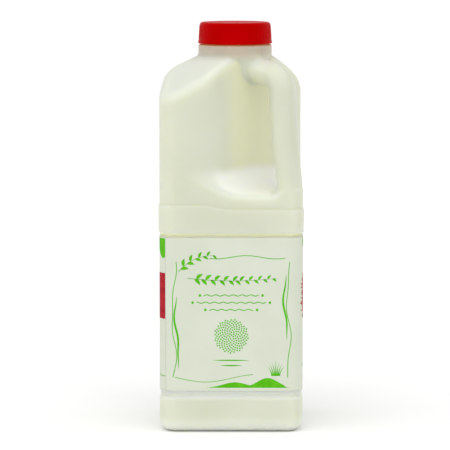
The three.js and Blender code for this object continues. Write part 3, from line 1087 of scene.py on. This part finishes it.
def drawCard(middle):
    d = cardDesign

    def sideways(z, side, w):
        ripple = w["ripple"] * np.sin(z / w["rippleWave"])
        return middle + side * (w["away"] + w["swing"] * np.sin(z / w["wave"] + side) + ripple)

    for side in (-1, 1):
        w = d["sideLine"]
        z = line(w["low"], w["high"], 90)
        ribbon("green", np.stack([sideways(z, side, w), z], axis=1), inkDesign["lineWidth"])
        w = d["brush"]
        z = line(w["low"] + side * w["lowShift"], w["high"] + side * w["highShift"], 60)
        t = (z - z[0]) / (z[-1] - z[0])
        width = w["thin"] + w["width"] * np.sin(math.pi * t) ** w["power"]
        ribbon("green", np.stack([sideways(z, side, w), z], axis=1), width)
    drawWave(middle, d["topLine"], 80, inkDesign["lineWidth"])
    for sprig in d["sprigs"]:
        drawSprig(middle, *sprig)
    w = d["row"]
    for row, (z, reach) in enumerate(d["rows"]):
        s = line(middle - reach, middle + reach, 60)
        ribbon("green", np.stack([s, z + w["swing"] * np.sin(s * w["wave"] + row)], axis=1), w["width"])
        for side in (-1, 1):
            drawDot((middle + side * (reach + w["dotAway"]), z), w["dotRadius"])
    w = d["bar"]
    for z, reach in d["bars"]:
        t = line(-1, 1, 30)
        width = w["thin"] + w["width"] * (1 - t * t)
        ribbon("green", np.stack([middle + reach * t, z + 0 * t], axis=1), width)
    drawHill(middle, d["hill"])
    drawWave(middle, d["lowLine"], 80, inkDesign["lineWidth"] * d["lowLineWidth"])
    w = d["grass"]
    for i in range(w["blades"]):
        side = i - w["blades"] // 2
        t = line(0, 1, 12)
        reach = w["length"] - abs(side) * w["shorter"]
        s = middle + w["middle"] + side * w["apart"] + reach * (side * w["lean"]) * t ** 2
        ribbon("green", np.stack([s, w["foot"] + reach * t], axis=1), w["thin"] + w["width"] * (1 - t))


def drawPanel(middle, random, lapped):
    d = panelDesign
    w = d["field"]
    edges = line(w["low"], w["high"], w["rows"] + 1)
    for i in range(w["rows"]):  # brush strokes with ragged ends
        rounded = w["rounding"] * abs(2 * i / (w["rows"] - 1) - 1) ** 3
        reach = w["reach"] + w["ragged"] * random.random() - rounded
        left = middle - reach
        right = middle + reach + w["tail"] * random.random()
        if lapped:
            right = film["lapStart"] + film["round"] + w["lapped"]
        s = line(left, right, 90)
        centre = (edges[i] + edges[i + 1]) / 2
        height = (edges[i + 1] - edges[i]) * np.minimum(1, w["tip"] + (s - left) / w["tipLength"])
        ribbon("red", np.stack([s, centre + 0 * s], axis=1), height)
    w = d["border"]
    s = line(middle - w["reach"], middle + (w["lapped"] if lapped else w["reach"]), 100)
    drop = w["drop"] * np.exp(-((s - middle - w["dropAt"]) / w["dropSpread"]) ** 2)
    depth = w["depth"] + w["swing"] * np.cos((s - middle) / w["wave"]) + drop
    inks["green"].append((np.stack([s, w["top"] + 0 * s], axis=1), np.stack([s, w["top"] - depth], axis=1)))
    w = dict(d["line"], to=d["lineLapped"]) if lapped else d["line"]
    drawWave(middle, w, 90, d["lineWidth"])
    drawHill(middle, d["hill"])
    drawSprig(middle, *d["sprig"])


# the rosette's dots stand on a spiral, each the golden angle further round
def rosetteTree():
    tree, inputs = growTree("seedHead", {"dots": "Int", "radius": "Float", "dotRadius": "Float"})
    points = add(tree, "GeometryNodePoints", Count=inputs["dots"])
    number = doMath(tree, "ADD", add(tree, "GeometryNodeInputIndex"), 0.5)
    turn = doMath(tree, "MULTIPLY", number, math.pi * (3 - math.sqrt(5)))
    share = doMath(tree, "SQRT", doMath(tree, "DIVIDE", number, inputs["dots"]))
    reach = doMath(tree, "MULTIPLY", inputs["radius"], share)
    spot = add(tree, "ShaderNodeCombineXYZ", X=doMath(tree, "MULTIPLY", reach, doMath(tree, "COSINE", turn)),
               Z=doMath(tree, "MULTIPLY", reach, doMath(tree, "SINE", turn)))
    spread = add(tree, "GeometryNodeSetPosition", Geometry=points, Position=spot)
    dot = add(tree, "GeometryNodeMeshCircle", {"fill_type": "NGON"}, Vertices=10, Radius=inputs["dotRadius"])
    upright = add(tree, "GeometryNodeTransform", Geometry=dot, Rotation=(math.pi / 2, 0, 0))
    dots = add(tree, "GeometryNodeInstanceOnPoints", Points=spread, Instance=upright)
    joined = add(tree, "GeometryNodeJoinGeometry", Geometry=dots)
    feed(tree, joined, "Geometry", inputs["Geometry"])
    return endTree(tree, inputs, joined)


def makeRosette(name, middle):
    d = rosetteDesign
    piece = placed(name, bpy.data.meshes.new(name))
    settings = {"dots": d["dots"], "radius": d["radius"] * mm, "dotRadius": d["dotRadius"] * mm}
    grow(piece, rosetteTree(), settings, materials["green"])
    flat = np.array([v.co[:] for v in piece.data.vertices]) / mm
    s = middle + flat[:, 0]
    points = filmPoint(s, d["height"] + flat[:, 2], filmLift(s) + film["inkLift"])
    for v, p in zip(piece.data.vertices, points):
        v.co = p * mm
    return piece


def makeInk(name, ink):
    points, faces = [], []
    for upper, lower in inks[ink]:
        first = len(points)
        count = len(upper)
        for side in (lower, upper):
            s, z = side.T
            points.extend(filmPoint(s, z, filmLift(s) + film["inkLift"]))
        for i in range(first, first + count - 1):
            faces.append((i, i + 1, i + 1 + count, i + count))
    return meshObject(name, points, faces, materials[ink])


def makePrint():
    random = np.random.default_rng(inkDesign["seed"])
    quarter = film["quarter"]
    drawCard(0)
    drawCard(2 * quarter)
    drawPanel(quarter, random, lapped=False)
    drawPanel(3 * quarter, random, lapped=True)
    pieces = [makeInk("printGreen", "green"), makeInk("printRed", "red")]
    pieces += [makeRosette("rosetteFront", 0), makeRosette("rosetteBack", 2 * quarter)]
    return pieces


prints = makePrint()
print("print:", [len(p.data.polygons) for p in prints], "faces")

for piece in [bottle, seamLine, cap, label] + prints:
    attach(piece, "root")
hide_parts("bottle")
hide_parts("cap")
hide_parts("label")

# camera: 1.5 m in front, a little above the cap
cameraSetup = {"distance": 1500, "height": 283, "down": 6.547, "left": 0.134, "lens": 215.2, "sensor": 36,
               "farthest": 60}


def makeCamera():
    s = cameraSetup
    data = bpy.data.cameras.new("camera")
    data.lens = s["lens"]
    data.sensor_width = s["sensor"]
    data.clip_end = s["farthest"]
    camera = placed("camera", data)
    camera.location = (0, -s["distance"] * mm, s["height"] * mm)
    camera.rotation_euler = (math.radians(90 - s["down"]), 0, math.radians(s["left"]))
    bpy.context.scene.camera = camera


makeCamera()

# a white room: even light from all round, and a wide soft light from above and in front
lighting = {"room": 0.75, "key": 1.42, "keySpread": 80, "keyFrom": (-0.1, -0.62, 1.35), "floorSize": 40.0}


def makeRoom():
    s = lighting
    world = bpy.data.worlds.new("room")
    bpy.context.scene.world = world
    world.use_nodes = True
    back = world.node_tree.nodes["Background"]
    back.inputs["Color"].default_value = (1, 1, 1, 1)
    back.inputs["Strength"].default_value = s["room"]
    key = bpy.data.lights.new("key", "SUN")
    key.energy = s["key"]
    key.angle = math.radians(s["keySpread"])
    lamp = placed("key", key)
    lamp.rotation_euler = Vector(s["keyFrom"]).to_track_quat("Z", "Y").to_euler()
    reach = s["floorSize"] / 2
    corners = [(-reach, -reach, 0), (reach, -reach, 0), (reach, reach, 0), (-reach, reach, 0)]
    mesh = bpy.data.meshes.new("floor")
    mesh.from_pydata(corners, [], [(0, 1, 2, 3)])
    mesh.materials.append(materials["floor"])
    placed("floor", mesh)
    bpy.context.scene.view_settings.view_transform = "Standard"


makeRoom()
